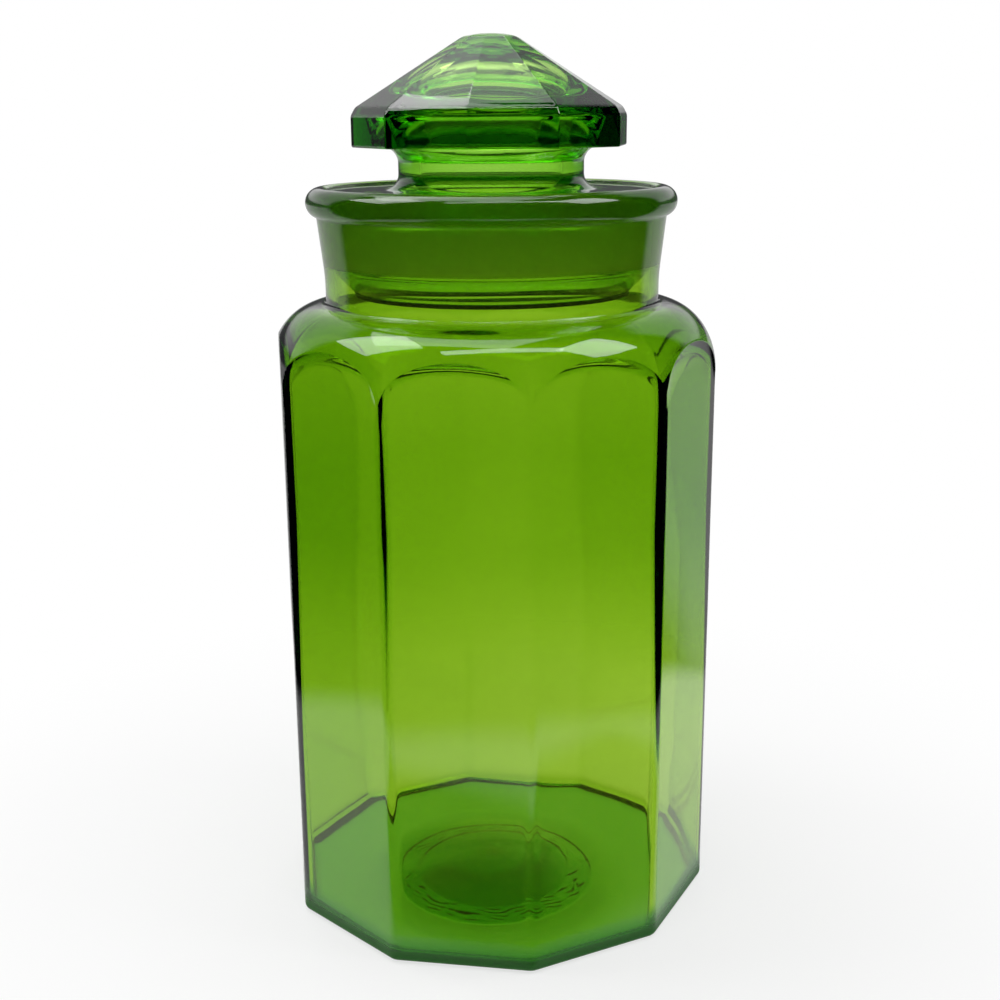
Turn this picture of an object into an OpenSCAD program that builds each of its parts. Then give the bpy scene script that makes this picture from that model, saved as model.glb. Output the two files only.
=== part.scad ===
// Ten-sided glass storage jar with a hollow ground-glass stopper.
// The jar stands on its base at z = 0, and its axis is the Z axis.
// One corner of the jar points to -Y. The stopper is turned by half a panel.

/* [Jar body] */
// Number of flat panels round the jar, and of facets round the knob
panels = 10; // [8:2:14]
// Width of the body across two opposite panels
body_w = 142; // [136:0.5:170]
// Height of the plain panels, from the base to where the shoulder starts
body_h = 185; // [120:1:260]
// Rounding of the upright corners between the panels
corner_r = 5; // [2:0.5:9]
// Rounding of the bottom edge
foot_r = 4; // [2:0.5:6]
// Thickness of a panel just above the floor
wall_low = 3.6; // [2:0.1:5.5]
// Thickness of a panel just below the shoulder
wall_high = 5.6; // [2:0.1:6]
// Thickness of the glass at the upright corners, which are rounder low down
corner_wall = 6.2; // [5.5:0.1:7]
// Thickness of the floor
floor_t = 5.5; // [5:0.5:12]
// Rounding between the floor and the walls inside
heel_r = 20; // [8:1:24]

/* [Shoulder and neck] */
// Height of the round shoulder
shoulder_h = 22; // [14:0.5:30]
// Thickness of the glass in the shoulder
shoulder_wall = 3.5; // [2.5:0.25:6]
// Height of the neck, from the shoulder to the middle of the rim's roll
neck_h = 32.8; // [31:0.2:45]
// Height of the upright band at the foot of the neck
neck_band_h = 9; // [5:0.5:14]
// Thickness of the glass in the upright band at the foot of the neck
neck_wall = 3.2; // [2.5:0.1:5]
// Thickness of the glass at the top of the neck, under the roll
neck_top_wall = 4.4; // [3:0.1:5]
// Rounding in the angle between the shoulder and the neck
neck_fillet = 1.5; // [0.5:0.25:3]
// Radius of the roll of glass round the rim
roll_r = 4.8; // [3.5:0.1:6]
// Distance from the wall of the mouth to the middle of the roll
roll_inset = 2.4; // [1.5:0.1:3]

/* [Underside] */
// Radius of the round hollow under the base
hollow_r = 34; // [20:1:45]
// Depth of the hollow at its middle
hollow_depth = 2.5; // [1:0.25:4]
// Step at the edge of the hollow
hollow_step = 0.6; // [0.3:0.1:1]
// Inner radius of the knurled ring inside the hollow
knurl_inner_r = 24; // [12:1:30]
// Height of the knurls
knurl_h = 0.4; // [0.2:0.1:0.6]
// Number of knurls round the ring
knurls = 60; // [24:4:72]

/* [Ground seat] */
// Radius of the mouth at the top of the ground seat
mouth_r = 53.4; // [48:0.2:56]
// Length of the ground seat along the axis
seat_h = 23.2; // [16:0.2:27]
// Taper of the ground seat, for each side
seat_taper = 3.8; // [2:0.1:6]
// Gap between the ground faces of the jar and the stopper
seat_gap = 0.15; // [0.05:0.05:0.4]
// How far the stopper's top face lies under the top of the roll
rim_drop = 1; // [0:0.1:2]

/* [Stopper plug] */
// Thickness of the plug's skirt
skirt_wall = 5.6; // [4:0.2:7]
// Thickness of the stopper's top plate
plate_t = 6.5; // [4:0.25:9]
// Rounding of the plate's outer edge
plate_edge_r = 1; // [0.4:0.1:2]
// How far the clear lip reaches below the ground band
lip_h = 10.4; // [6:0.2:14]
// How far the lip curves in from the ground band
lip_in = 6.4; // [3:0.2:9]
// Thickness of the lip, which ends in a full round
lip_t = 5; // [3.5:0.1:6]
// Rounding between the skirt and the top plate inside
roof_r = 6; // [3:0.5:9]

/* [Knob] */
// Radius of the waist below the knob
waist_r = 30.2; // [27:0.2:36]
// Height of the waist, from the top plate to the knob
waist_h = 13.4; // [10:0.2:20]
// Rounding at each end of the waist
waist_fillet = 5; // [2:0.5:5]
// Width of the knob across two opposite facets
knob_w = 86; // [80:0.5:96]
// Height of the knob's upright band
band_h = 9.8; // [6:0.2:14]
// Width of the bevel above the band
bevel_w = 1.4; // [0.5:0.1:3]
// Height of the bevel above the band
bevel_h = 2.6; // [1:0.1:4]
// Height of the sloping facets
cone_h = 21.6; // [16:0.2:30]
// Width of the small flat on top, across two opposite facets
tip_w = 17; // [8:0.5:24]
// Height of the low crown on the small flat
tip_h = 0.8; // [0.4:0.1:1.5]

/* [Hollow of the stopper] */
// Radius of the hollow inside the waist
bore_r = 22.5; // [18:0.5:24]
// Rounding where the hollow opens out under the top plate
bore_edge_r = 4; // [2:0.5:6]
// Radius of the hollow where it is widest, inside the knob
bulb_r = 24; // [20:0.5:26]
// Thickness of the glass over the top of the hollow
crown_t = 11; // [7:0.5:16]

/* [Hidden] */
GLASS = "#5f9e10";      // bottle-green soda-lime glass
STEPS = 12;             // straight stretches in each rounded part of a profile
OVER = 1;               // how far a cut runs past a face
FACET = 360 / panels;   // angle of one panel
FRONT = -90;            // way to -Y, where the jar has a corner and the knob a facet
$fn = 64;

// Body, across the corners and inside
half_w = body_w / 2;
out_corner = (half_w - corner_r) / cos(FACET / 2) + corner_r;
low_half_w = half_w - wall_low;
high_half_w = half_w - wall_high;
inner_draft = (low_half_w - high_half_w) / body_h;
in_corner = out_corner - corner_wall;

// Heights, from the base up
shoulder_top = body_h + shoulder_h;
roll_z = shoulder_top + neck_h;
rim_top = roll_z + roll_r;
plate_z = rim_top - rim_drop;
seat_low = plate_z - seat_h;
lip_z = seat_low - lip_h;
knob_z = plate_z + waist_h;
cone_z = knob_z + band_h + bevel_h;
tip_z = cone_z + cone_h;

// Radii of the mouth, the neck and the plug
function seat_radius(z) = mouth_r - (plate_z - z) * tan(seat_taper);
throat_r = seat_radius(seat_low);
neck_r = throat_r + neck_wall;
neck_top_z = roll_z - roll_r * cos(asin(roll_inset / roll_r));
neck_top_r = seat_radius(neck_top_z) + neck_top_wall;
roll_c = mouth_r + roll_inset;
plug_low_r = throat_r - seat_gap;
plug_in_r = plug_low_r - skirt_wall;
lip_c = plug_low_r - lip_in - lip_t / 2;

// Points of a round or oval arc about c, from angle a0 to a1
function arc(c, rx, ry, a0, a1, n = STEPS) =
    [for (i = [0 : n]) let (a = a0 + (a1 - a0) * i / n) [c[0] + rx * cos(a), c[1] + ry * sin(a)]];

// Section of a concave fillet of radius r in the angle at p. The fillet
// lies on the side that sx and sy point to, and backs into both faces.
module fillet(p, r, sx, sy) {
    translate(p) scale_mirror(sx, sy) difference() {
        translate([-OVER, -OVER]) square(r + OVER);
        translate([r, r]) circle(r);
    }
}

// Mirrors its children where sx or sy is -1
module scale_mirror(sx, sy) {
    mirror([sx < 0 ? 1 : 0, 0]) mirror([0, sy < 0 ? 1 : 0]) children();
}

// Solid with a flat side for each panel. half holds the points of its section
// on one side of the axis, from the bottom to the top, and the first side faces
// the way that facing gives.
module panelled(half, reach, facing) {
    last = len(half) - 1;
    section = concat(half, [for (i = [0 : last]) [-half[last - i][0], half[last - i][1]]]);
    intersection_for (k = [0 : panels / 2 - 1])
        rotate([90, 0, facing + k * FACET])
            translate([0, 0, -reach]) linear_extrude(2 * reach) polygon(section);
}

// Upright prism of height h with a flat for each panel and rounded corners,
// the first of which points the way that facing gives
module round_prism(half, r, h, facing) {
    centre = (half - r) / cos(FACET / 2);
    linear_extrude(h) union() {
        polygon([for (k = [0 : panels - 1], s = [-1, 1])
            let (a = facing + FACET * k, b = a + s * FACET / 2)
                [centre * cos(a) + r * cos(b), centre * sin(a) + r * sin(b)]]);
        for (k = [0 : panels - 1])
            rotate(facing + FACET * k) translate([centre, 0]) circle(r);
    }
}

/* ---------- Jar ---------- */

// What the rounded bottom edge leaves out, along the foot of every panel
module jar_foot_cuts() {
    for (k = [0 : panels - 1])
        rotate([90, 0, FRONT + FACET / 2 + k * FACET])
            translate([0, 0, -half_w]) linear_extrude(body_w) polygon(concat(
                [[half_w - foot_r, -OVER]],
                arc([half_w - foot_r, foot_r], foot_r, foot_r, -90, 0, 5),
                [[half_w + 2 * corner_r, foot_r], [half_w + 2 * corner_r, -OVER]]));
}

// Round outside of the body and shoulder. The panels cut it into arches.
module jar_shoulder_section() {
    polygon(concat(
        [[0, -OVER], [out_corner + OVER, -OVER], [out_corner + OVER, body_h]],
        arc([neck_r + neck_fillet, body_h],
            out_corner - neck_r - neck_fillet, shoulder_h, 0, 90, 2 * STEPS),
        [[0, shoulder_top]]));
}

// Round outside of the neck, with the roll round the rim
module jar_neck_section() {
    polygon([
        [0, body_h], [neck_r, body_h],
        [neck_r, shoulder_top + neck_band_h - neck_fillet],
        [neck_r + (neck_top_r - neck_r) * 0.15, shoulder_top + neck_band_h],
        [neck_top_r, neck_top_z], [roll_c, roll_z], [0, roll_z]]);
    fillet([neck_r, shoulder_top], neck_fillet, 1, 1);
    translate([roll_c, roll_z]) circle(roll_r);
}

// Round inside of the jar: the floor, the heel, the shoulder and the way up
// into the throat. It rounds off the corners between the drafted inner panels.
module jar_hollow_section() {
    polygon(concat(
        [[0, floor_t]],
        arc([in_corner - heel_r, floor_t + heel_r], heel_r, heel_r, -90, 0),
        arc([throat_r, body_h], in_corner - throat_r, shoulder_h - shoulder_wall,
            0, 90, 2 * STEPS),
        [[0, shoulder_top - shoulder_wall]]));
}

// Throat and ground seat
module jar_mouth_section() {
    polygon([
        [0, body_h], [throat_r, body_h], [throat_r, seat_low],
        [seat_radius(rim_top + OVER), rim_top + OVER], [0, rim_top + OVER]]);
}

// Shallow dished hollow under the base, with a small step at its edge
module base_hollow_section() {
    polygon(concat(
        [[0, -OVER], [hollow_r, -OVER], [hollow_r, hollow_step]],
        [for (i = [1 : STEPS]) let (t = i / STEPS)
            [hollow_r * (1 - t), hollow_step + (hollow_depth - hollow_step) * sin(90 * t)]]));
}

// Ring of low knurls inside the hollow, which keeps the hot glass off the belt
module base_knurls() {
    knurl_w = PI * (hollow_r + knurl_inner_r) / knurls / 2;
    for (k = [0 : knurls - 1])
        rotate([0, 0, 360 * k / knurls])
            translate([knurl_inner_r, -knurl_w / 2, hollow_step - knurl_h])
                cube([hollow_r - knurl_inner_r - knurl_h, knurl_w, hollow_depth]);
}

module jar() {
    color(GLASS) difference() {
        union() {
            intersection() {
                round_prism(half_w, corner_r, rim_top, FRONT);
                rotate_extrude() jar_shoulder_section();
            }
            rotate_extrude() jar_neck_section();
        }
        jar_foot_cuts();
        intersection() {
            panelled([[low_half_w, 0], [low_half_w - rim_top * inner_draft, rim_top]],
                body_w, FRONT + FACET / 2);
            rotate_extrude() jar_hollow_section();
        }
        rotate_extrude() jar_mouth_section();
        difference() {
            rotate_extrude() base_hollow_section();
            base_knurls();
        }
    }
}

/* ---------- Stopper ---------- */

// Round outside of the plug and the waist
module plug_section() {
    top_r = seat_radius(plate_z) - seat_gap;
    polygon(concat(
        arc([lip_c, lip_z + lip_t / 2], lip_t / 2, lip_t / 2, -180, -90, 6),
        arc([lip_c, seat_low], plug_low_r - lip_c, seat_low - lip_z, -90, 0),
        arc([top_r - plate_edge_r, plate_z - plate_edge_r], plate_edge_r, plate_edge_r, 0, 90, 6),
        [[waist_r, plate_z], [waist_r, knob_z + OVER], [0, knob_z + OVER], [0, plate_z - plate_t]]));
    fillet([waist_r, plate_z], waist_fillet, 1, 1);
    fillet([waist_r, knob_z], waist_fillet, 1, -1);
}

// Knob with its upright band, bevel, sloping facets and low crown
module knob() {
    intersection() {
        panelled([
            [knob_w / 2, knob_z - OVER], [knob_w / 2, knob_z + band_h],
            [knob_w / 2 - bevel_w, cone_z], [tip_w / 2, tip_z],
            [tip_w / 8, tip_z + 1.5 * tip_h]], knob_w, FRONT);
        translate([0, 0, knob_z]) cylinder(h = tip_z + tip_h - knob_z, r = knob_w);
    }
}

// Hollow of the stopper: the wide skirt below, the waist and the bulb above
module stopper_hollow_section() {
    roof = plate_z - plate_t;
    bulb_z = knob_z + band_h;
    polygon(concat(
        [[0, lip_z - OVER], [lip_c - lip_t / 2, lip_z - OVER]],
        arc([lip_c - lip_t / 2, seat_low], plug_in_r - lip_c + lip_t / 2,
            seat_low - lip_z - lip_t / 2, -90, 0),
        arc([plug_in_r - roof_r, roof - roof_r], roof_r, roof_r, 0, 90, 6),
        arc([bore_r + bore_edge_r, roof + bore_edge_r], bore_edge_r, bore_edge_r, -90, -180, 6),
        [[bore_r, knob_z]],
        arc([0, bulb_z], bulb_r, tip_z - crown_t - bulb_z, 0, 90, 2 * STEPS)));
}

module stopper() {
    color(GLASS) difference() {
        union() {
            rotate_extrude() plug_section();
            knob();
        }
        rotate_extrude() stopper_hollow_section();
    }
}

jar();
stopper();
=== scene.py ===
"""Dressed model of a ten-sided glass storage jar with its hollow ground-glass stopper.

Jar and stopper are each one closed shell of bottle-green glass. A shell is a surface of two parameters: the
angle round the jar's axis, which gives the columns of a grid, and a way along the section, which gives its
rows. Glass is measured in millimetres and written in metres. The studio is measured in metres.
"""

import logging
import math
from dataclasses import dataclass, field
from enum import Enum

import bpy
import numpy as np
from mathutils import Matrix, Vector


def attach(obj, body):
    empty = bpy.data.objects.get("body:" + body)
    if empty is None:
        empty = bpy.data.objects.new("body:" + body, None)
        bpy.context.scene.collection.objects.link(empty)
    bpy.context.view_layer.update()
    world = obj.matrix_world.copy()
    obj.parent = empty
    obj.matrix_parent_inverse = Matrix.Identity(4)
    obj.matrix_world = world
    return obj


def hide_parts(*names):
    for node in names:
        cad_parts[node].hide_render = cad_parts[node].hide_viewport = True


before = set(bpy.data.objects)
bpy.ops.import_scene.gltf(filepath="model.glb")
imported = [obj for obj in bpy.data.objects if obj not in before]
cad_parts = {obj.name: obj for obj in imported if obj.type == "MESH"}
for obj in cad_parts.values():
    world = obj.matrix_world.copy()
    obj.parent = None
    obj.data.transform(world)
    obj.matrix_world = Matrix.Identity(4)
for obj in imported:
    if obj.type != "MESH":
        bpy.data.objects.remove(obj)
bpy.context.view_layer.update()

LOG = logging.getLogger("glass_jar")
MM = 0.001
SIDES = 10
TURN = 2 * math.pi
FACET = TURN / SIDES
FRONT = -TURN / 4  # the jar has a corner towards -Y
GAP = 0.3 * MM  # the studio's floor lies this far below the jar's foot, so that their faces don't meet
BOUNCES = 32  # light crosses up to a dozen faces of glass on its way through jar and stopper
MIRRORED_BOUNCES = 16

Rows = float | np.ndarray  # one number, or an array that broadcasts to rows and columns


# ---------------------------------------------------------------- surfaces


def polygon_radius(theta: np.ndarray, half: Rows, corner: Rows, first: float) -> np.ndarray:
    """Distance from the axis to a regular polygon with rounded corners.

    On a flat it is the apothem over the cosine of the angle from the flat's middle. On a corner's arc it is
    the distance along the ray to a circle of the corner's radius, whose middle lies on the corner's bisector.

    Args:
        theta: angles round the axis.
        half: apothem, from the axis to the middle of a flat.
        corner: radius of the corners.
        first: angle of one corner.

    Returns:
        The radii, in the shape that the arguments broadcast to.
    """
    off = np.abs((theta - first + FACET / 2) % FACET - FACET / 2)
    middle = (half - corner) / math.cos(FACET / 2)
    reach = np.arctan2(corner * math.sin(FACET / 2), middle + corner * math.cos(FACET / 2))
    inside = np.maximum(corner**2 - (middle * np.sin(off)) ** 2, 0)
    return np.where(off < reach, middle * np.cos(off) + np.sqrt(inside), half / np.cos(FACET / 2 - off))


def columns(first: float, per_side: int) -> np.ndarray:
    """Angles of a shell's columns, close together at the corners and wider apart on the flats.

    Within a side the angle is a cubic of an even count, with a small slope at the corner.

    Args:
        first: angle of one corner.
        per_side: number of columns for each side.

    Returns:
        The angles, rising from half a side before the first corner.
    """
    even = (np.arange(per_side) + 0.5) / per_side - 0.5
    slope = 0.34  # a third of the distance that even columns would have
    warped = slope * even + 4 * (1 - slope) * even**3
    return (first + FACET * (np.arange(SIDES)[:, None] + warped)).ravel()


def arc(centre: tuple, radii: tuple, start: float, end: float, count: int) -> np.ndarray:
    """Points of a round or oval arc, as an array of (radius, height) pairs.

    Args:
        centre: the arc's middle.
        radii: half its width and half its height.
        start: first angle in degrees.
        end: last angle in degrees.
        count: number of points.

    Returns:
        An array of shape (count, 2).
    """
    angle = np.radians(np.linspace(start, end, count))
    return np.stack([centre[0] + radii[0] * np.cos(angle), centre[1] + radii[1] * np.sin(angle)], 1)


def shares(count: int) -> np.ndarray:
    """Even shares of a stretch, from one step after its start to its end, as a column."""
    return np.linspace(0, 1, count + 1)[1:, None]


def parabola(start: Rows, corner: Rows, end: Rows, t: np.ndarray) -> np.ndarray:
    """Points at the shares t of a parabola, which leaves start towards corner and comes to end from there."""
    return start * (1 - t) ** 2 + 2 * corner * t * (1 - t) + end * t**2


def eased(points: list, radii: tuple, steps: int = 6) -> np.ndarray:
    """A path of straight stretches whose corners are rounded.

    Each corner is replaced by a parabola that leaves the two stretches at the same distance from the corner.

    Args:
        points: the path's corners.
        radii: that distance for each inner corner.
        steps: number of stretches in each rounded corner.

    Returns:
        An array of (radius, height) pairs.
    """
    path = np.array(points, float)
    t = np.linspace(0, 1, steps + 1)[:, None]
    parts = [path[:1]]
    for before, here, after, ease in zip(path[:-2], path[1:-1], path[2:], radii):
        leave = here + (before - here) * min(ease / np.linalg.norm(before - here), 0.5)
        arrive = here + (after - here) * min(ease / np.linalg.norm(after - here), 0.5)
        parts.append(parabola(leave, here, arrive, t))
    parts.append(path[-1:])
    return np.concatenate(parts)


def between(path: np.ndarray | list, longest: float) -> np.ndarray:
    """The path with even points added to its long stretches.

    Args:
        path: (radius, height) pairs.
        longest: how long a stretch may be.

    Returns:
        An array of (radius, height) pairs.
    """
    path = np.asarray(path)
    gaps = np.linalg.norm(np.diff(path, axis=0), axis=1)
    counts = np.maximum(np.ceil(gaps / longest), 1).astype(int)
    stretch = np.repeat(np.arange(len(gaps)), counts)
    step = np.arange(len(stretch)) - np.repeat(np.cumsum(counts) - counts, counts)
    share = (step / counts[stretch])[:, None]
    return np.concatenate([path[stretch] * (1 - share) + path[stretch + 1] * share, path[-1:]])


def smooth(value: np.ndarray, start: float, end: float) -> np.ndarray:
    """Rises from 0 at start to 1 at end, as the cubic 3 s^2 - 2 s^3 of the way between them."""
    share = np.clip((value - start) / (end - start), 0, 1)
    return share**2 * (3 - 2 * share)


def unevenness(grid: np.ndarray) -> np.ndarray:
    """Slow swell of hot-worked glass, between about -1 and 1.

    It is the mean of sines along fixed slanted directions, with wavelengths from 33 to 124 mm. Each row below
    is a direction, in radians for each millimetre along X, Y and Z, and the sine's phase.

    Args:
        grid: places, with X, Y and Z along the last axis.

    Returns:
        The swell at each place.
    """
    waves = np.array([
        (0.045, 0.010, 0.021, 0.4), (-0.030, 0.052, 0.013, 1.9), (0.071, -0.038, 0.030, 4.1),
        (0.020, 0.083, -0.061, 2.6), (-0.110, 0.060, 0.085, 5.2), (0.140, 0.120, -0.045, 0.9),
    ])
    return np.sin(grid @ waves[:, :3].T + waves[:, 3]).mean(axis=-1) * 1.6


def grid_faces(rows: int, cols: int) -> np.ndarray:
    """Faces of a grid whose rows each go once round.

    Args:
        rows: number of rows.
        cols: number of points in a row.

    Returns:
        The numbers of each face's four corners.
    """
    here = np.arange(rows * cols).reshape(rows, cols)
    there = np.roll(here, -1, 1)
    return np.stack([here[:-1], there[:-1], there[1:], here[1:]], 2).reshape(-1, 4)


def mark(mesh: bpy.types.Mesh, title: str, values: np.ndarray) -> None:
    """Writes one number for each point of a mesh, for its material to read."""
    mesh.attributes.new(title, "FLOAT", "POINT").data.foreach_set("value", values.astype(np.float32))


def placed(name: str, data: bpy.types.ID) -> bpy.types.Object:
    """Makes an object and puts it in the scene.

    Args:
        name: the object's name.
        data: its mesh, lamp or camera.

    Returns:
        The object.
    """
    made = bpy.data.objects.new(name, data)
    bpy.context.scene.collection.objects.link(made)
    return made


@dataclass
class Shell:
    """A closed surface round the axis, made of rows that each go once round."""

    theta: np.ndarray
    radii: list = field(default_factory=list)
    heights: list = field(default_factory=list)
    ground: list = field(default_factory=list)
    wave: list = field(default_factory=list)
    # times over the painted shade tint, for each row
    pooled: list = field(default_factory=list)

    def add(self, radius: Rows, height: Rows, ground: Rows = 0.0, wave: float = 0.0,
            pooled: Rows = 0.0) -> None:
        """Adds rows to the shell.

        Args:
            radius: distances from the axis, one row for each row to add.
            height: heights, in the same shape or one that broadcasts to it.
            ground: 1 where the glass is ground matt, and more where it is rougher still.
            wave: how strongly the rows show the waviness of hot-worked glass, in millimetres.
            pooled: how many times over light takes the painted shade tint as it crosses the surface, which
                paints shade into the glass.
        """
        shape = (np.broadcast_shapes(np.shape(radius), np.shape(height))[0], len(self.theta))
        values = (radius, height, ground, wave, pooled)
        for rows, value in zip((self.radii, self.heights, self.ground, self.wave, self.pooled), values):
            rows.append(np.broadcast_to(value, shape))

    def add_round(self, path: np.ndarray, **look: float) -> None:
        """Adds rows of a turned surface, whose section is path and whose looks are those that add takes."""
        self.add(path[:, :1], path[:, 1:], **look)

    def mesh(self, name: str, first_pole: float, last_pole: float,
             downward: bool = False) -> bpy.types.Object:
        """Makes the shell a mesh object, closed at both ends by a pole on the axis.

        Waviness moves each point along the normal, by a sum of slow sines of its place. A negative wave only
        moves it inwards, which keeps the outside within its size.

        Args:
            name: the object's name.
            first_pole: height of the first pole.
            last_pole: height of the last pole.
            downward: whether the rows run down the outside, so that their order is turned to face outwards.

        Returns:
            The object, with a point attribute named ground, and one that holds the painted shade tint.
        """
        r, z, matt, wave, pooled = (np.concatenate(rows) for rows in (
            self.radii, self.heights, self.ground, self.wave, self.pooled))
        if downward:
            r, z, matt, wave, pooled = r[::-1], z[::-1], matt[::-1], wave[::-1], pooled[::-1]
            first_pole, last_pole = last_pole, first_pole
        rows, cols = r.shape
        grid = np.stack([r * np.cos(self.theta), r * np.sin(self.theta), z], 2)
        along = np.gradient(grid, axis=0)
        around = np.roll(grid, -1, 1) - np.roll(grid, 1, 1)
        normal = np.cross(around, along)
        normal /= np.maximum(np.linalg.norm(normal, axis=2, keepdims=True), 1e-9)
        grid = grid + normal * (wave * unevenness(grid) - np.abs(wave) * (wave < 0))[..., None]
        points = np.concatenate([grid.reshape(-1, 3), [[0, 0, first_pole], [0, 0, last_pole]]]) * MM
        row = np.arange(cols)
        after, last, poles = np.roll(row, -1), (rows - 1) * cols, np.full(cols, rows * cols)
        faces = [grid_faces(rows, cols), np.stack([poles, after, row], 1),
                 np.stack([poles + 1, row + last, after + last], 1)]
        made = bpy.data.meshes.new(name)
        made.from_pydata(points.tolist(), [], [face for part in faces for face in part.tolist()])
        made.shade_smooth()
        # the second attribute paints shade into the glass, as a tint
        for title, values in (("ground", matt), ("pooled", pooled)):
            mark(made, title, np.append(values.ravel(), [0, 0]))
        return placed(name, made)


# ---------------------------------------------------------------- finishes


def linear(code: str) -> tuple:
    """Turns an sRGB hex code such as #5f9e10 into a linear colour with alpha 1."""
    parts = [int(code[i : i + 2], 16) / 255 for i in (1, 3, 5)]
    return tuple(c / 12.92 if c <= 0.04045 else ((c + 0.055) / 1.055) ** 2.4 for c in parts) + (1.0,)


def node(tree: bpy.types.NodeTree, kind: str, settings: dict | None = None,
         inputs: dict | None = None) -> bpy.types.Node:
    """Adds a node to a tree.

    Args:
        tree: the node tree.
        kind: the node's type, without its ShaderNode prefix.
        settings: attributes to set on the node.
        inputs: values for its sockets by name or number; an output socket is linked.

    Returns:
        The node.
    """
    made = tree.nodes.new("ShaderNode" + kind)
    for key, value in (settings or {}).items():
        setattr(made, key, value)
    for key, value in (inputs or {}).items():
        if isinstance(value, bpy.types.NodeSocket):
            tree.links.new(value, made.inputs[key])
        else:
            made.inputs[key].default_value = value
    return made


def empty_tree(paint: bpy.types.Material | bpy.types.World) -> bpy.types.NodeTree:
    """Turns on the nodes of a material or world, and takes out those that it starts with.

    Args:
        paint: the material or world.

    Returns:
        Its node tree.
    """
    paint.use_nodes = True
    paint.node_tree.nodes.clear()
    return paint.node_tree


@dataclass(frozen=True)
class BottleGlass:
    """Soda-lime glass coloured in the pot with iron and chrome, pressed and then fire-polished.

    The colour is in the depth of the glass, so thin walls are yellow-green and thick corners deep green. The
    skin is glossy with a faint orange-peel from the iron mould, and the ground seat is matt from emery.
    """

    name: str = "bottle_green_glass"
    depth_colour: str = "#d3e900"  # blue goes first and then red, so lime deepens to bottle green
    density: float = 540.0  # for each metre: a wall is lime, and an edge seen along its length nearly black
    shade_colour: str = "#0c6f06"  # painted shade: turns the middle of the floor, seen over the shaded table under the jar, a deep blue-green
    ior: float = 1.52
    polish: float = 0.012  # roughness of the fire-polished skin, which mirrors the lamps sharply
    handled: float = 2.2  # times as rough under a film from hands, which softens the lamps' images in patches
    film_mm: float = 9.0  # size of those patches, and below how much of the noise they take
    film_from: float = 0.45
    film_to: float = 0.75
    emery: float = 0.3  # roughness of ground glass, which looks like satin
    frost: float = 0.45  # share of light that ground glass scatters, which makes the band even and milky
    skin_mm: float = 14.0
    skin_depth_mm: float = 0.02  # orange-peel, which bends straight reflections a little

    def material(self) -> bpy.types.Material:
        """Builds the material, which reads the shell's attribute ground, and the one that paints shade as a
        tint.

        Returns:
            The material.
        """
        made = bpy.data.materials.new(self.name)
        tree = empty_tree(made)
        place = node(tree, "TexCoord").outputs["Object"]
        ground = node(tree, "Attribute", {"attribute_name": "ground"}).outputs["Fac"]
        film = node(tree, "TexNoise", None, {
            "Vector": place, "Scale": 1 / (self.film_mm * MM), "Detail": 3.0})
        gloss = node(tree, "MapRange", None, {
            "Value": film.outputs["Fac"], "From Min": self.film_from, "From Max": self.film_to,
            "To Min": self.polish, "To Max": self.polish * self.handled})
        rough = node(tree, "Mix", {"data_type": "FLOAT"}, {
            0: ground, 2: gloss.outputs["Result"], 3: self.emery})
        peel = node(tree, "TexNoise", None, {
            "Vector": place, "Scale": 1 / (self.skin_mm * MM), "Detail": 1.0})
        mould = node(tree, "Bump", None, {
            "Height": peel.outputs["Fac"], "Strength": 1.0, "Distance": self.skin_depth_mm * MM})
        # painted shade: the shade colour raised to the power of this attribute darkens the glass over the
        # shaded table under the jar, and at the dark edges of foot and lip
        pooled = node(tree, "Attribute", {"attribute_name": "pooled"}).outputs["Fac"]
        shade = node(tree, "Gamma", None, {
            "Color": linear(self.shade_colour), "Gamma": pooled}).outputs["Color"]
        clear = node(tree, "BsdfPrincipled", None, {
            "Base Color": shade, "Roughness": rough.outputs[0], "IOR": self.ior, "Transmission Weight": 1.0,
            "Normal": mould.outputs["Normal"]})
        back = node(tree, "BsdfDiffuse", None, {"Color": shade})
        through = node(tree, "BsdfTranslucent", None, {"Color": shade})
        frosted = node(tree, "MixShader", None, {0: 0.5, 1: back.outputs[0], 2: through.outputs[0]})
        share = node(tree, "Math", {"operation": "MULTIPLY"}, {0: ground, 1: self.frost})
        skin = node(tree, "MixShader", None, {
            0: share.outputs[0], 1: clear.outputs[0], 2: frosted.outputs[0]})
        depth = node(tree, "VolumeAbsorption", None, {
            "Color": linear(self.depth_colour), "Density": self.density})
        node(tree, "OutputMaterial", None, {"Surface": skin.outputs[0], "Volume": depth.outputs["Volume"]})
        return made


class Batch(Enum):
    """The two pots of glass. The stopper's is paler and a little bluer, so it stands out from the jar."""

    JAR = BottleGlass()
    STOPPER = BottleGlass(name="pale_green_glass", depth_colour="#e1f4b7", density=380.0)


# ---------------------------------------------------------------- jar


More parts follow.
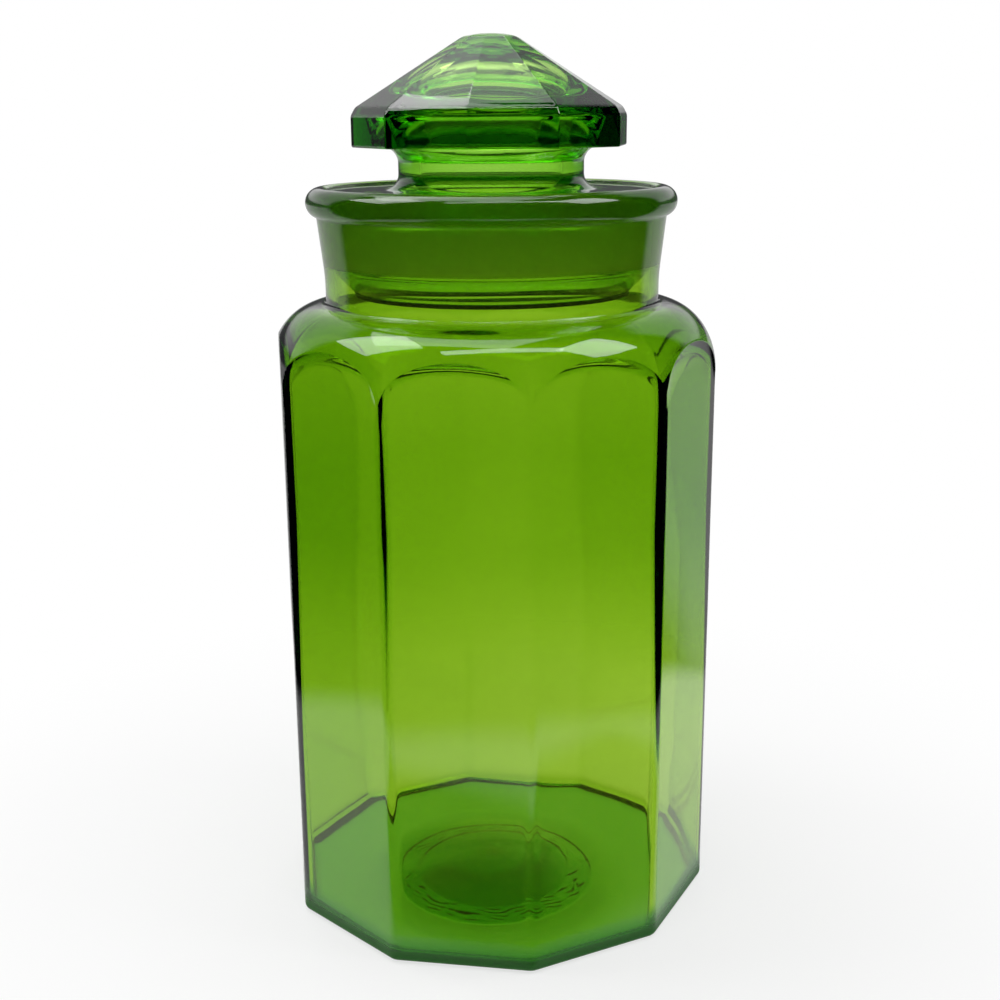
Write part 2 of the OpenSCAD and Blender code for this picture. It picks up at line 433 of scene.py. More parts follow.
@dataclass(frozen=True)
class Dish:
    """The dished middle of the underside, with its rough ring, and the painted shade of the table under the
    jar over it.

    Dish, shade pool and crescent each have a middle (x, y) of their own. The other pairs each hold the start
    and end of a smooth step.
    """

    at: tuple = (-3.0, -11.0)
    radius: float = 34.0
    depth: float = 5.2
    step: float = 0.5
    blunt: float = 4.0  # how far from its middle the cone is rounded
    knurl_inner_r: float = 26.0
    knurl_step: float = 0.3
    knurl_h: float = 0.5
    knurl_pitch: float = 2.3
    shade: float = 0.45  # painted shade over the whole underside, in times over the shade colour; the painted shades below are added to it
    # painted shade of the table under the jar, seen through the base: a soft pool, a dark crescent and the
    # ring's front
    shade_pool_at: tuple = (-12.0, 2.0)
    shade_pool_r: float = 31.0
    shade_pool_core_r: float = 9.0
    shade_pool_breadth: float = 1.1
    shade_pool_tint: float = 0.55
    crescent_at: tuple = (-4.0, -1.0)
    crescent_from: tuple = (15.0, 21.0)
    crescent_front: tuple = (2.0, -8.0)
    crescent_side: tuple = (26.0, 6.0)
    crescent_slant: float = 0.35
    crescent_tint: float = 1.2
    ring_front: tuple = (-2.0, -16.0)
    ring_side: tuple = (0.0, 20.0)
    ring_fade: float = 0.6
    ring_tint: float = 0.6

    def height(self, x: np.ndarray, y: np.ndarray) -> np.ndarray:
        """Height of the underside.

        It is a blunt cone about its own middle, which lies a little towards the front, with a small step at
        the inner and outer edge of the rough ring, each a millimetre wide. The ring's roughness is a row of
        waves in the distance from that middle, bent and broken up by slow sums of sines, and strongest at the
        front.

        Args:
            x: places along X.
            y: places along Y.

        Returns:
            The heights.
        """
        away = np.hypot(x - self.at[0], y - self.at[1])
        blunt, drop = self.blunt, self.depth - self.step - self.knurl_step
        fall = drop / (math.hypot(self.radius, blunt) - blunt)
        cone = self.depth - fall * (np.hypot(away, blunt) - blunt)
        z = cone - self.knurl_step * smooth(away, self.knurl_inner_r - 0.6, self.knurl_inner_r + 0.4)
        bend = np.sin(0.31 * x + 0.17 * y) + np.sin(0.12 * x - 0.43 * y + 2) + np.sin(0.55 * x + 0.38 * y + 4)
        broken = np.sin(0.62 * x + 1.3 * np.sin(0.5 * y)) + np.sin(0.93 * y - 0.5 * x + 1.1 * np.sin(0.7 * x))
        ring = smooth(away, self.knurl_inner_r - 1.5, self.knurl_inner_r + 2) * smooth(
            away, self.radius - 0.3, self.radius - 2)
        front = 0.3 + 0.7 * smooth((self.at[1] - y) / self.radius, -0.1, 0.7)
        waves = np.sin(TURN * (away + 0.7 * bend) / self.knurl_pitch) * np.clip(0.5 + 0.45 * broken, 0, 1.2)
        z = z + self.knurl_h * ring * front * waves
        return np.maximum(z * smooth(away, self.radius + 0.5, self.radius - 0.5), 0)

    def pool(self, x: np.ndarray, y: np.ndarray) -> np.ndarray:
        """How many times over the underside takes the painted shade tint.

        It paints the shade of the table under the jar, seen through the base: a soft round pool left of the
        middle, a dark crescent in front of it inside the rough ring, and the front of the ring, which is
        paler to the right.
        Each is a product of smooth steps in x, in y or in the distance from a middle.

        Args:
            x: places along X.
            y: places along Y.

        Returns:
            The number of times at each place.
        """
        off = np.hypot((x - self.shade_pool_at[0]) / self.shade_pool_breadth, y - self.shade_pool_at[1])
        soft = smooth(off, self.shade_pool_r, self.shade_pool_core_r)
        away = np.hypot(x - self.at[0], y - self.at[1])
        front = smooth(y - self.crescent_slant * x, *self.crescent_front) * smooth(x, *self.crescent_side)
        inner = smooth(away, self.knurl_inner_r + 0.3, self.knurl_inner_r - 0.3)
        off = np.hypot(x - self.crescent_at[0], y - self.crescent_at[1])
        crescent = inner * smooth(off, *self.crescent_from) * front
        outer = smooth(away, self.radius + 0.3, self.radius - 0.3)
        ring = outer * smooth(y, *self.ring_front) * (1 - self.ring_fade * smooth(x, *self.ring_side))
        return (self.shade + self.shade_pool_tint * soft + self.crescent_tint * crescent
                + self.ring_tint * ring * (1 - crescent))


@dataclass
class Jar:
    """The jar: panels, shoulder, neck, rolled rim, ground mouth and dished base.

    A size whose name ends in _at is a place (x, y), or (height, value) pairs joined by straight lines.
    """

    body_w: float = 142.0
    body_h: float = 185.0
    corner_r: float = 5.0
    foot_r: float = 2.2
    foot_wear: float = 1.3  # how matt the scuffed front of the foot is
    foot_shade: float = 0.5  # painted shade at the front of the foot, in times over the shade colour
    wall_at: tuple = ((0.0, 3.0), (57.0, 2.9), (85.0, 3.5), (140.0, 5.3), (185.0, 4.6))
    inner_corner_at: tuple = ((0.0, 9.0), (50.0, 8.0), (95.0, 3.2), (185.0, 3.2))
    lean_at: tuple = ((0.0, 0.5), (60.0, 0.5), (150.0, 0.1), (185.0, 0.0))  # inside's place along X
    swell: float = 0.16
    floor_t: float = 2.0
    floor_swell: float = 7.0
    floor_reach: float = 52.0
    front_heel_r: float = 3.5
    back_heel_r: float = 5.5
    shoulder_h: float = 22.0
    shoulder_wall: float = 3.5
    outer_ease: float = 0.5  # from an arched ridge to where its rounding begins
    inner_rise: float = 0.55  # share of the arches' height by which the inside begins higher there
    throat_edge: float = 3.0  # height over which the throat turns into the inside of the shoulder
    throat_turn: float = 0.16  # radians by which the shoulder is past level where that turn ends
    neck_h: float = 32.8
    neck_band_h: float = 9.0
    neck_wall: float = 3.2
    neck_top_wall: float = 4.4
    neck_fillet: float = 1.5
    roll_r: float = 4.8
    roll_inset: float = 2.4
    roll_from: float = -62.0
    roll_to: float = 118.0
    mouth_r: float = 53.4
    seat_h: float = 23.2
    seat_taper: float = 3.8
    rim_drop: float = 1.0
    rim_wear: float = 0.4
    wear: float = 0.06  # how matt the underside is
    dish: Dish = Dish()

    def __post_init__(self) -> None:
        """Works out the heights and radii that follow from the sizes."""
        self.shoulder_top = self.body_h + self.shoulder_h
        self.roll_z = self.shoulder_top + self.neck_h
        self.rim_top = self.roll_z + self.roll_r
        self.plate_z = self.rim_top - self.rim_drop
        self.seat_low = self.plate_z - self.seat_h
        self.throat_r = self.seat_radius(self.seat_low)
        self.neck_r = self.throat_r + self.neck_wall
        self.roll_c = self.mouth_r + self.roll_inset

    def seat_radius(self, height: Rows) -> Rows:
        """Radius of the ground mouth at a height."""
        return self.mouth_r - (self.plate_z - height) * math.tan(math.radians(self.seat_taper))

    def build(self, material: bpy.types.Material) -> bpy.types.Object:
        """Builds the jar as one closed shell, from the middle of its underside round to that of its floor.

        Args:
            material: the glass that it is made of.

        Returns:
            The jar's object.
        """
        shell = Shell(columns(FRONT, 30))
        self.underside(shell)
        self.panels(shell)
        self.neck(shell)
        self.mouth(shell)
        self.inside(shell)
        axis = np.zeros(1)
        piece = shell.mesh(
            "jar_glass", float(self.dish.height(axis, axis)[0]), float(self.floor_height(axis, axis)[0]))
        piece.data.materials.append(material)
        return piece

    def underside(self, shell: Shell) -> None:
        """Dish with its rough ring, and the flat round it that the jar stands on.

        Args:
            shell: what the rows are added to.
        """
        theta = shell.theta[None]
        flat = polygon_radius(theta, self.body_w / 2 - self.foot_r, self.corner_r - self.foot_r, FRONT)
        r = np.linspace(1, self.dish.radius + math.hypot(*self.dish.at) + 2, 86)[:, None]
        x, y = r * np.cos(theta), r * np.sin(theta)
        # the underside takes painted shade of the table under the jar
        shell.add(r, self.dish.height(x, y), ground=self.wear, pooled=self.dish.pool(x, y))
        t = shares(7)[:-1]
        # the flat round the dish takes the underside's even painted shade
        shell.add(r[-1:] * (1 - t) + flat * t, 0.0, ground=self.wear, pooled=self.dish.shade)

    def floor_height(self, x: np.ndarray, y: np.ndarray) -> np.ndarray:
        """Height of the floor inside, which swells over the dish as a squared cosine of the way from it."""
        away = np.hypot(x - self.dish.at[0], y - self.dish.at[1]) / self.floor_reach
        return self.floor_t + self.floor_swell * np.cos(np.minimum(away, 1) * math.pi / 2) ** 2

    def oval(self, theta: np.ndarray) -> tuple[float, float, np.ndarray]:
        """The shoulder's oval, and how far up it each panel's plane leaves it.

        The cosine of the angle up the oval is the panel's distance from its middle over its half width.

        Args:
            theta: angles round the axis.

        Returns:
            The distance of the oval's middle from the axis, its half width, and the angles.
        """
        wall = polygon_radius(theta, self.body_w / 2, self.corner_r, FRONT)
        middle = self.neck_r + self.neck_fillet
        wide = wall.max() - middle
        return middle, wide, np.arccos(np.clip((wall - middle) / wide, -1, 1))

    def ridge(self, theta: np.ndarray) -> np.ndarray:
        """Height of the arched ridges, where the panels' planes leave the shoulder's oval."""
        return self.body_h + self.shoulder_h * np.sin(self.oval(theta)[2])

    def panels(self, shell: Shell) -> None:
        """Rounded foot, scuffed and with painted shade at the front, flat panels, the arched ridges, and the
        round shoulder.

        Args:
            shell: what the rows are added to.
        """
        theta = shell.theta[None]
        half, foot_r = self.body_w / 2, self.foot_r
        front = smooth(np.sin(theta), 0.2, -0.2)
        angle = np.radians(np.linspace(0, 90, 8))[:, None]
        inset = foot_r * (1 - np.sin(angle))
        foot = polygon_radius(theta, half - inset, self.corner_r - inset, FRONT)
        # the front of the foot is matt, and darkened by painted shade
        shell.add(foot, foot_r * (1 - np.cos(angle)), ground=self.foot_wear * front,
                  pooled=self.foot_shade * front)
        wall = polygon_radius(theta, half, self.corner_r, FRONT)
        middle, wide, turn = self.oval(theta)
        ridge, ease = self.ridge(theta), self.outer_ease
        shell.add(wall, foot_r + (ridge - ease - foot_r) * shares(23), wave=-self.swell * 0.3)
        past = turn + ease / np.hypot(wide * np.sin(turn), self.shoulder_h * np.cos(turn))
        end_r, end_z = middle + wide * np.cos(past), self.body_h + self.shoulder_h * np.sin(past)
        t = shares(7)
        shell.add(parabola(wall, wall, end_r, t), parabola(ridge - ease, ridge, end_z, t))
        up = past + (math.pi / 2 - past) * shares(19)
        shell.add(middle + wide * np.cos(up), self.body_h + self.shoulder_h * np.sin(up))

    def neck(self, shell: Shell) -> None:
        """Fillet, upright band and tapered neck, and the roll of glass round the rim.

        Args:
            shell: what the rows are added to.
        """
        foot = (self.neck_r + self.neck_fillet, self.shoulder_top + self.neck_fillet)
        fillet = arc(foot, (self.neck_fillet, self.neck_fillet), 270, 180, 6)[1:]
        shell.add_round(fillet)
        roll = arc((self.roll_c, self.roll_z), (self.roll_r, self.roll_r), self.roll_from, self.roll_to, 26)
        band_z, top_z = self.shoulder_top + self.neck_band_h, self.roll_z - self.roll_r + 0.4
        top_r = self.seat_radius(top_z) + self.neck_top_wall
        sides = eased([fillet[-1], (self.neck_r, band_z), (top_r, top_z), roll[0]], (4.0, 1.0))
        shell.add_round(between(sides, 2.5)[1:])
        shell.add_round(roll[1:])

    def mouth(self, shell: Shell) -> None:
        """Inner edge of the rim, the ground seat and the throat below it.

        Args:
            shell: what the rows are added to.
        """
        edge = self.roll_z + math.sqrt(self.roll_r**2 - self.roll_inset**2)
        corner = [[self.mouth_r + 0.1, edge - 0.1], [self.seat_radius(edge - 0.6), edge - 0.6]]
        shell.add_round(np.array(corner), ground=self.rim_wear)
        heights = np.linspace(edge - 1.0, self.seat_low, 9)
        shell.add_round(np.stack([self.seat_radius(heights), heights], 1), ground=1.0)
        low = self.shoulder_top - self.shoulder_wall + self.throat_edge
        heights = np.linspace(self.seat_low - 0.5, low, 6)
        shell.add_round(np.stack([np.full(6, self.throat_r), heights], 1))

    def inside(self, shell: Shell) -> None:
        """Inside of the shoulder, the inner panels, the round heel and the floor.

        The shoulder's inside is an oval at each angle, which ends upright on the panel there. It begins
        higher under the arches, by the square of their height, so that it has no ridges of its own.

        Args:
            shell: what the rows are added to.
        """
        theta = shell.theta[None]
        low = self.shoulder_top - self.shoulder_wall
        arch = self.ridge(theta) - self.body_h
        begin = self.body_h + self.inner_rise * arch**2 / arch.max()
        top = low - begin
        throat = self.throat_r
        wide = self.inner_radius(theta, np.array([[self.body_h]]), 0) - throat
        first = math.pi / 2 - self.throat_turn
        start_r, start_z = throat + wide * math.cos(first), begin + top * math.sin(first)
        t = shares(6)
        shell.add(parabola(throat, throat, start_r, t), parabola(low + self.throat_edge, low, start_z, t))
        down = first * (1 - shares(25))
        shell.add(throat + wide * np.cos(down), begin + top * np.sin(down), wave=self.swell * 0.5)
        heel = self.front_heel_r + (self.back_heel_r - self.front_heel_r) * smooth(np.sin(theta), -0.85, 0.0)
        z = begin + (self.floor_t + heel - begin) * shares(35)
        shell.add(self.inner_radius(theta, z, 0), z, wave=self.swell)
        angle = np.radians(np.linspace(0, 90, 16)[1:])[:, None]
        z = self.floor_t + heel * (1 - np.sin(angle))
        shell.add(self.inner_radius(theta, z, heel * (1 - np.cos(angle))), z, wave=self.swell * 0.5)
        edge = self.inner_radius(theta, np.array([[self.floor_t]]), heel)
        r = edge + (1.5 - edge) * shares(31)[:-1]
        shell.add(r, self.floor_height(r * np.cos(theta), r * np.sin(theta)), wave=self.swell * 0.5)

    def inner_radius(self, theta: np.ndarray, z: np.ndarray, inset: Rows) -> np.ndarray:
        """Distance from the axis to the inner panels.

        They are a smaller polygon than the outside, and lie a little off the axis low down, so that the wall
        is thicker on the left there. Thickness, corner radius and lean follow the height.

        Args:
            theta: angles round the axis.
            z: heights.
            inset: how far the section is moved in, for the heel.

        Returns:
            The radii, in the shape that the arguments broadcast to.
        """
        thick, corner, lean = (np.interp(z, *np.transpose(pairs)) for pairs in (
            self.wall_at, self.inner_corner_at, self.lean_at))
        half = self.body_w / 2 - thick - inset
        return polygon_radius(theta, half, np.maximum(corner - inset, 0.5), FRONT) + lean * np.cos(theta)


# ---------------------------------------------------------------- stopper


@dataclass
class Stopper:
    """The hollow stopper: ground plug with its clear lip, top plate, waist and ten-sided knob."""

    jar: Jar
    seat_gap: float = 0.15
    skirt_wall: float = 4.6
    plate_t: float = 6.5
    plate_edge_r: float = 1.0
    lip_h: float = 10.4
    lip_in: float = 6.4
    lip_t: float = 5.6
    lip_edge_h: float = 1.3  # height of the lip's edge, left rough as it was cracked off
    lip_clear_h: float = 1.6  # height above the edge's foot from which the lip is clear
    edge_wear: float = 1.8
    # painted shade: darkens the lip's rough edge into a dark ring
    edge_shade: float = 3.0
    roof_r: float = 6.0
    waist_r: float = 30.2
    waist_h: float = 13.4
    waist_fillet: float = 5.0
    knob_w: float = 86.0
    knob_edges: tuple = (1.0, 1.2, 0.8, 0.8, 0.8)  # rounding of its edges, from the crown down
    band_h: float = 9.8
    bevel_w: float = 1.4
    bevel_h: float = 2.6
    under_w: float = 4.0  # how far in the knob's underside stays ten-sided
    cone_h: float = 21.6
    tip_w: float = 17.0
    tip_h: float = 0.8
    bore_r: float = 23.0
    bore_edge_r: float = 4.0
    bulb_r: float = 28.0
    crown_t: float = 6.5
    arris_r: float = 1.1
    swell: float = 0.1

    def __post_init__(self) -> None:
        """Works out the heights and radii that follow from the sizes."""
        self.knob_z = self.jar.plate_z + self.waist_h
        self.cone_z = self.knob_z + self.band_h + self.bevel_h
        self.tip_z = self.cone_z + self.cone_h
        self.top_z = self.tip_z + self.tip_h
        self.lip_z = self.jar.seat_low - self.lip_h
        self.plug_low_r = self.jar.throat_r - self.seat_gap
        self.lip_c = self.plug_low_r - self.lip_in - self.lip_t / 2

    def build(self, material: bpy.types.Material) -> bpy.types.Object:
        """Builds the stopper as one closed shell, from its tip round its lip to the top of its hollow.

        Args:
            material: the glass that it is made of.

        Returns:
            The stopper's object.
        """
        shell = Shell(columns(FRONT + FACET / 2, 40))
        self.knob(shell)
        self.plug(shell)
        self.hollow(shell)
        piece = shell.mesh("stopper_glass", self.top_z, self.tip_z - self.crown_t, downward=True)
        piece.data.materials.append(material)
        return piece

    def knob(self, shell: Shell) -> None:
        """Crown, sloping facets, bevel and band, and the underside, which turns from ten-sided to round.

        Args:
            shell: what the rows are added to.
        """
        theta, first = shell.theta[None], FRONT + FACET / 2
        wide = self.knob_w / 2
        corners = [
            (0.8, self.top_z), (self.tip_w / 4, self.top_z), (self.tip_w / 2, self.tip_z),
            (wide - self.bevel_w, self.cone_z), (wide, self.knob_z + self.band_h), (wide, self.knob_z),
            (wide - self.under_w, self.knob_z)]
        path = between(eased(corners, self.knob_edges), 1.6)
        half, height = path[:, :1], path[:, 1:]
        shell.add(polygon_radius(theta, half, np.minimum(self.arris_r, half * 0.4), first), height)
        edge, t = polygon_radius(theta, half[-1:], self.arris_r, first), shares(5)
        shell.add(edge * (1 - t) + (self.waist_r + self.waist_fillet) * t, self.knob_z)

    def plug(self, shell: Shell) -> None:
        """Waist between its two fillets, top plate, ground band and the clear lip that curves in below it.

        Args:
            shell: what the rows are added to.
        """
        fillet, edge_r, plate_z = self.waist_fillet, self.plate_edge_r, self.jar.plate_z
        waist = self.waist_r + fillet
        shell.add_round(arc((waist, self.knob_z - fillet), (fillet, fillet), 90, 180, 12)[1:])
        shell.add_round(arc((waist, plate_z + fillet), (fillet, fillet), 180, 270, 12))
        top_r = self.jar.seat_radius(plate_z) - self.seat_gap
        shell.add_round(between([[waist, plate_z], [top_r - edge_r, plate_z]], 2.5)[1:])
        shell.add_round(arc((top_r - edge_r, plate_z - edge_r), (edge_r, edge_r), 90, 0, 6)[1:])
        heights = np.linspace(plate_z - edge_r - 0.4, self.jar.seat_low, 10)
        shell.add_round(np.stack([self.jar.seat_radius(heights) - self.seat_gap, heights], 1), ground=1.0)
        low, base = self.jar.seat_low, self.lip_z
        outer, top = self.lip_c + self.lip_t / 2, base + self.lip_edge_h
        inner = outer - self.lip_t
        cone = [(self.plug_low_r, low - 0.3), (self.plug_low_r - 0.2, low - 1.2),
                (outer, base + self.lip_clear_h)]
        shell.add_round(between(eased(cone, (0.8,)), 1.5))
        edge = eased([(outer, top), (outer, base), (inner, base), (inner, top)], (0.6, 0.6))
        # the lip's edge is rough, and darkened by painted shade
        shell.add_round(between(edge, 1.0), ground=self.edge_wear, pooled=self.edge_shade)

    def hollow(self, shell: Shell) -> None:
        """Inside of the skirt, the opening into the waist, and the bulb inside the knob.

        Args:
            shell: what the rows are added to.
        """
        roof, turn_r, edge_r = self.jar.plate_z - self.plate_t, self.roof_r, self.bore_edge_r
        wide = self.plug_low_r - self.skirt_wall
        bulb_z = self.knob_z + self.band_h
        lip = (self.lip_c - self.lip_t / 2, self.lip_z + self.lip_clear_h)
        skirt = eased([lip, (wide, self.jar.seat_low + 1.0), (wide, roof - turn_r)], (2.5,))
        bore = [[self.bore_r, roof + edge_r], [self.bore_r, self.knob_z], [self.bulb_r, bulb_z]]
        for path in (
            between(skirt, 2),
            arc((wide - turn_r, roof - turn_r), (turn_r, turn_r), 0, 90, 8)[1:],
            between([[wide - turn_r, roof], [self.bore_r + edge_r, roof]], 3)[1:-1],
            arc((self.bore_r + edge_r, roof + edge_r), (edge_r, edge_r), -90, -180, 9),
            between(bore, 2.5)[1:],
            arc((0, bulb_z), (self.bulb_r, self.tip_z - self.crown_t - bulb_z), 0, 88, 20)[1:],
        ):
            shell.add_round(path, wave=self.swell)


# ---------------------------------------------------------------- studio


def aim(thing: bpy.types.Object, place: Vector, target: Vector, roll: float = 0.0) -> None:
    """Puts a camera or lamp at place, turned to look at target and rolled about its own axis."""
    turned = (target - place).to_track_quat("-Z", "Y").to_matrix().to_4x4()
    thing.matrix_world = Matrix.Translation(place) @ turned @ Matrix.Rotation(roll, 4, "Z")


def seen_by_eye(tree: bpy.types.NodeTree) -> bpy.types.NodeSocket:
    """Tells the rays that show the set from those that only light it.

    Args:
        tree: the node tree.

    Returns:
        A socket that is 1 for a ray that the camera, a reflection or clear glass looks along.
    """
    path = node(tree, "LightPath").outputs
    first = node(tree, "Math", {"operation": "MAXIMUM"}, {0: path["Is Camera Ray"], 1: path["Is Glossy Ray"]})
    both = node(tree, "Math", {"operation": "MAXIMUM"}, {
        0: first.outputs[0], 1: path["Is Transmission Ray"]})
    return both.outputs[0]


@dataclass(frozen=True)
class Softbox:
    """A flat rectangular lamp with an even face.

    It is placed by the way to it from the jar's shoulder: turn is measured from +Y towards +X, and rise from
    level, both in degrees.
    """

    name: str
    turn: float
    rise: float
    away: float
    width: float
    depth: float
    brightness: float
    shoulder_z: float = 0.2

    def build(self) -> None:
        """Makes the lamp. Its power is brightness times pi times its area, so that 1 looks white."""
        data = bpy.data.lights.new(self.name, "AREA")
        data.shape = "RECTANGLE"
        data.size, data.size_y = self.width, self.depth
        data.energy = self.brightness * math.pi * self.width * self.depth
        turn, rise = math.radians(self.turn), math.radians(self.rise)
        way = Vector((math.sin(turn) * math.cos(rise), math.cos(turn) * math.cos(rise), math.sin(rise)))
        middle = Vector((0, 0, self.shoulder_z))
        aim(placed(self.name, data), middle + way * self.away, middle)


@dataclass
class DarkRoom:
    """Dome of black velvet that is open to a white backdrop behind the jar, black cards on the table, and a
    painted shadow of the jar on the table in front of it.

    Light that the outside of the glass has mirrored sees it in full, and light that has been turned back
    inside the glass sees a share of it. It draws the edges of the glass dark and leaves its faces clear, as
    black flags in a studio do. Left, right and top are in degrees, from +Y towards +X and upwards. A pair
    holds the start and end of a smooth step, and each of the levels a step of the backdrop's brightness.
    """

    radius: float = 1.0
    edge_share: float = 0.25
    left: tuple = (-62.0, -54.0)
    right: tuple = (64.0, 72.0)
    top: tuple = (50.0, 56.0)
    table: tuple = (0.235, 0.275)
    # painted shadow of the jar on the table in front of it, which mirrored light sees dark
    shadow_side: tuple = (0.15, 0.18)
    shadow_front: tuple = (-0.2, -0.17)
    shadow_back: tuple = (-0.085, -0.06)
    behind: tuple = (0.24, 0.32)
    behind_loss: float = 0.4
    low_level: float = 0.55
    levels: tuple = ((0.17, 0.21, -0.47), (0.3, 0.36, 0.72), (0.4, 0.6, -0.2))

    def build(self) -> None:
        """Builds the room. The rows of its grid run outwards over the table and then up the dome."""
        turn = np.radians(np.arange(0, 360, 2.0))[None]
        r = np.concatenate([np.linspace(0.078, 0.32, 40), np.geomspace(0.33, self.radius, 12)])[:, None]
        rise = np.radians(np.linspace(0, 89.5, 46))[1:, None]
        x = np.concatenate([r * np.sin(turn), self.radius * np.cos(rise) * np.sin(turn)])
        y = np.concatenate([r * np.cos(turn), self.radius * np.cos(rise) * np.cos(turn)])
        z = np.concatenate([0 * r * turn - GAP * 0.6, self.radius * np.sin(rise) + 0 * turn])
        made = bpy.data.meshes.new("dark_room")
        inward = grid_faces(*x.shape)[:, [0, 3, 2, 1]]
        made.from_pydata(np.stack([x, y, z], 2).reshape(-1, 3).tolist(), [], inward.tolist())
        rows = len(r)
        table, dome = self.on_table(turn, r, x[:rows], y[:rows]), self.on_dome(turn, rise, z[rows:])
        mark(made, "black", (1 - np.concatenate([table, dome])).ravel())
        room = placed("dark_room", made)
        room.visible_camera = False
        room.visible_diffuse = False
        room.visible_shadow = False
        made.materials.append(self.velvet())

    def open_back(self, turn: np.ndarray) -> np.ndarray:
        """Is 1 at the turns where the room is open to the backdrop."""
        side = np.degrees(np.arctan2(np.sin(turn), np.cos(turn)))
        return smooth(side, *self.left) * (1 - smooth(side, *self.right))

    def on_table(self, turn: np.ndarray, r: np.ndarray, x: np.ndarray, y: np.ndarray) -> np.ndarray:
        """How much of the table is seen: all near the jar but for a painted shadow of the jar in front of it,
        and less far off.

        Args:
            turn: turns, as a row.
            r: distances from the axis, as a column.
            x: places along X.
            y: places along Y.

        Returns:
            Shares from 0 to 1.
        """
        near = (1 - smooth(r, *self.table)) * np.ones_like(turn)
        # painted shadow of the jar, dark on the table in front of it
        card = (1 - smooth(np.abs(x), *self.shadow_side)) * smooth(y, *self.shadow_front) * (
            1 - smooth(y, *self.shadow_back))
        behind = self.open_back(turn) * (1 - self.behind_loss * smooth(r, *self.behind))
        return np.maximum(near * (1 - card), behind)

    def on_dome(self, turn: np.ndarray, rise: np.ndarray, high: np.ndarray) -> np.ndarray:
        """How much of the backdrop is seen, which goes down and up in steps with the height.

        Args:
            turn: turns, as a row.
            rise: angles above the table, as a column.
            high: heights.

        Returns:
            Shares from 0 to 1.
        """
        level = self.low_level
        for start, end, change in self.levels:
            level = level + change * smooth(high, start, end)
        return self.open_back(turn) * level * (1 - smooth(np.degrees(rise), *self.top))

    def velvet(self) -> bpy.types.Material:
        """Builds black velvet that only mirrored light sees, and that gives the glass its dark outlines.

        Returns:
            The material.
        """
        paint = bpy.data.materials.new("black_velvet")
        tree = empty_tree(paint)
        path = node(tree, "LightPath").outputs
        turned = node(tree, "Math", {"operation": "GREATER_THAN"}, {0: path["Glossy Depth"], 1: 0.5})
        inside = node(tree, "Math", {"operation": "MULTIPLY"}, {0: turned.outputs[0], 1: self.edge_share})
        outside = node(tree, "Math", {"operation": "SUBTRACT"}, {
            0: path["Is Glossy Ray"], 1: path["Is Transmission Ray"]})
        mirrored = node(tree, "Math", {"operation": "MAXIMUM"}, {0: inside.outputs[0], 1: outside.outputs[0]})
        black = node(tree, "Attribute", {"attribute_name": "black"}).outputs["Fac"]
        share = node(tree, "Math", {"operation": "MULTIPLY"}, {0: mirrored.outputs[0], 1: black})
        clear = node(tree, "BsdfTransparent")
        velvet = node(tree, "Emission", None, {"Color": linear("#0a0f16"), "Strength": 1.0})
        both = node(tree, "MixShader", None, {0: share.outputs[0], 1: clear.outputs[0], 2: velvet.outputs[0]})
        node(tree, "OutputMaterial", None, {"Surface": both.outputs[0]})
        return paint


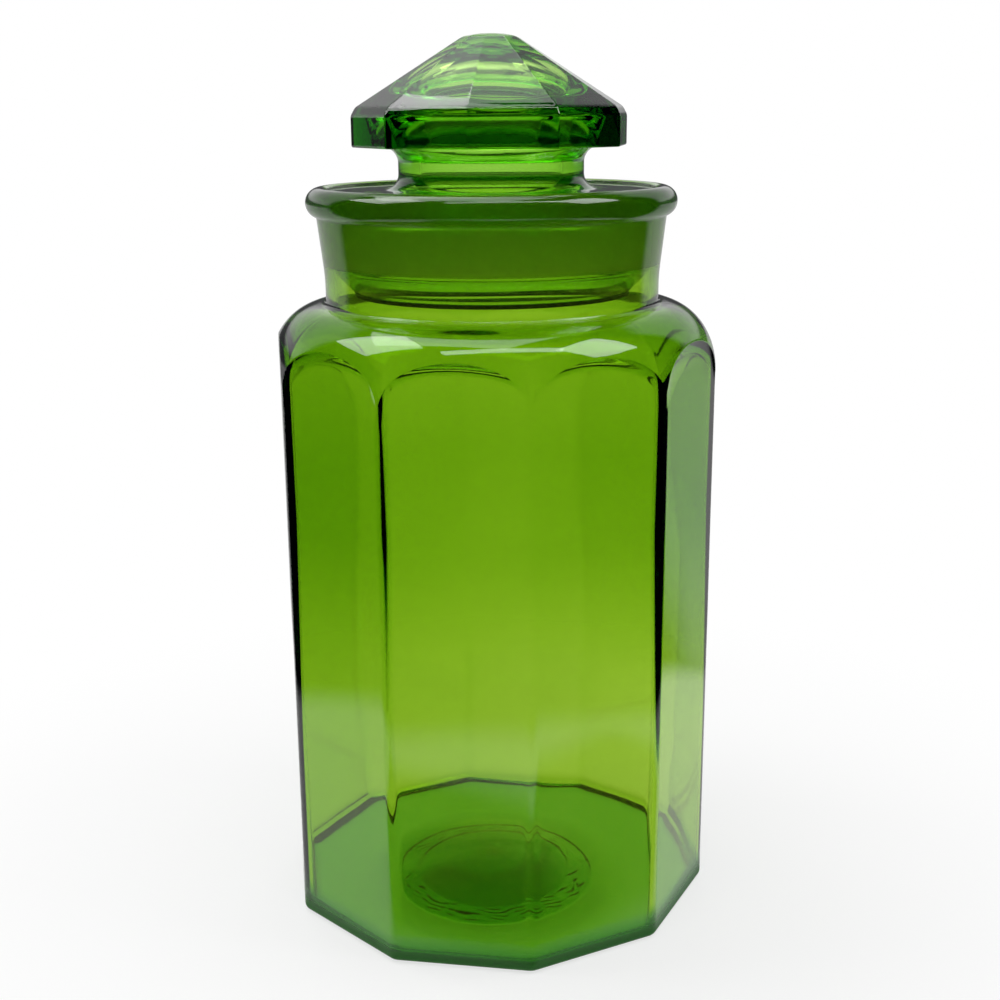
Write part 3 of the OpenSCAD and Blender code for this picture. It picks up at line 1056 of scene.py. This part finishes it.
@dataclass
class Studio:
    """Pale floor and white surround, softboxes above, a dark room that the glass mirrors, and the camera.

    The shoulder, the rim and the knob's facets show each softbox where they face halfway between it and the
    camera.
    """

    reach: float = 6.0
    fill: float = 0.3
    white_from: float = 0.1
    white_to: float = 0.3
    paleness: float = 0.7
    camera_turn: float = -8.75
    scale: float = 74.0 * MM  # the unit of away and high
    away: float = 6.5345
    high: float = 3.6217
    pitch: float = 15.0412
    yaw: float = 0.25
    roll: float = -0.41
    focal: float = 1447.4  # in thousandths of the picture's width
    softboxes: tuple = (
        Softbox("overhead_softbox", -57, 77.8, 0.563, 0.36, 0.53, 2.6),
        Softbox("back_softbox", 0, 60, 0.62, 0.44, 0.28, 1.8),
        Softbox("front_strip", 180, 67, 0.6, 0.5, 0.08, 5.0),
        Softbox("left_softbox", -78, 52, 0.6, 0.30, 0.30, 4.5),
        Softbox("right_softbox", 112, 50, 0.6, 0.28, 0.26, 5.5),
    )

    def build(self) -> None:
        """Builds the whole studio."""
        self.surround()
        self.floor()
        DarkRoom().build()
        for softbox in self.softboxes:
            softbox.build()
        self.camera()

    def surround(self) -> None:
        """White world for the camera, reflections and through glass, and a softer one that lights the set."""
        world = bpy.data.worlds.new("white_surround")
        bpy.context.scene.world = world
        tree = empty_tree(world)
        soft = node(tree, "Background", None, {"Color": linear("#f8fafc"), "Strength": self.fill})
        white = node(tree, "Background", None, {"Color": linear("#ffffff"), "Strength": 1.0})
        both = node(tree, "MixShader", None, {0: seen_by_eye(tree), 1: soft.outputs[0], 2: white.outputs[0]})
        node(tree, "OutputWorld", None, {"Surface": both.outputs[0]})

    def floor(self) -> None:
        """Wide pale floor."""
        r, z = self.reach, -GAP
        made = bpy.data.meshes.new("studio_floor")
        made.from_pydata([(-r, -r, z), (r, -r, z), (r, r, z), (-r, r, z)], [], [(0, 1, 2, 3)])
        floor = placed("studio_floor", made)
        made.materials.append(self.sweep())

    def sweep(self) -> bpy.types.Material:
        """Builds white card, which keeps the shadow near the object and is pure white to the eye far off.

        Returns:
            The material.
        """
        paint = bpy.data.materials.new("white_sweep")
        tree = empty_tree(paint)
        card = node(tree, "BsdfDiffuse", None, {"Color": linear("#f4f4f4")})
        white = node(tree, "Emission", None, {"Color": linear("#ffffff"), "Strength": 1.0})
        place = node(tree, "TexCoord").outputs["Object"]
        away = node(tree, "VectorMath", {"operation": "LENGTH"}, {0: place}).outputs["Value"]
        far = node(tree, "MapRange", {"interpolation_type": "SMOOTHSTEP"}, {
            "Value": away, "From Min": self.white_from, "From Max": self.white_to, "To Min": self.paleness,
            "To Max": 1.0}).outputs["Result"]
        share = node(tree, "Math", {"operation": "MULTIPLY"}, {0: far, 1: seen_by_eye(tree)})
        both = node(tree, "MixShader", None, {0: share.outputs[0], 1: card.outputs[0], 2: white.outputs[0]})
        node(tree, "OutputMaterial", None, {"Surface": both.outputs[0]})
        return paint

    def camera(self) -> None:
        """Camera in front of the jar, above it and looking down."""
        data = bpy.data.cameras.new("camera")
        data.sensor_width = 36
        data.lens = self.focal * data.sensor_width / 1000
        made = placed("camera", data)
        turn = math.radians(self.camera_turn)
        pitch, yaw = math.radians(self.pitch), turn - math.radians(self.yaw)
        place = Vector((math.sin(turn) * self.away, -math.cos(turn) * self.away, self.high)) * self.scale
        look = Vector((-math.sin(yaw) * math.cos(pitch), math.cos(yaw) * math.cos(pitch), -math.sin(pitch)))
        aim(made, place, place + look, math.radians(self.roll))
        bpy.context.scene.camera = made


def main() -> None:
    """Builds the jar, the stopper and the studio."""
    logging.basicConfig(level=logging.INFO, format="%(message)s")
    jar = Jar()
    stopper = Stopper(jar)
    dark, pale = Batch.JAR.value.material(), Batch.STOPPER.value.material()
    for piece, body in ((jar.build(dark), "jar"), (stopper.build(pale), "stopper")):
        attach(piece, body)
        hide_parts(body)
        LOG.info("%s: %d points on body %s", piece.name, len(piece.data.vertices), body)
    Studio().build()
    scene = bpy.context.scene
    scene.view_settings.view_transform = "Standard"
    scene.cycles.max_bounces = BOUNCES
    scene.cycles.transmission_bounces = BOUNCES
    scene.cycles.glossy_bounces = MIRRORED_BOUNCES


if __name__ == "__main__":
    main()
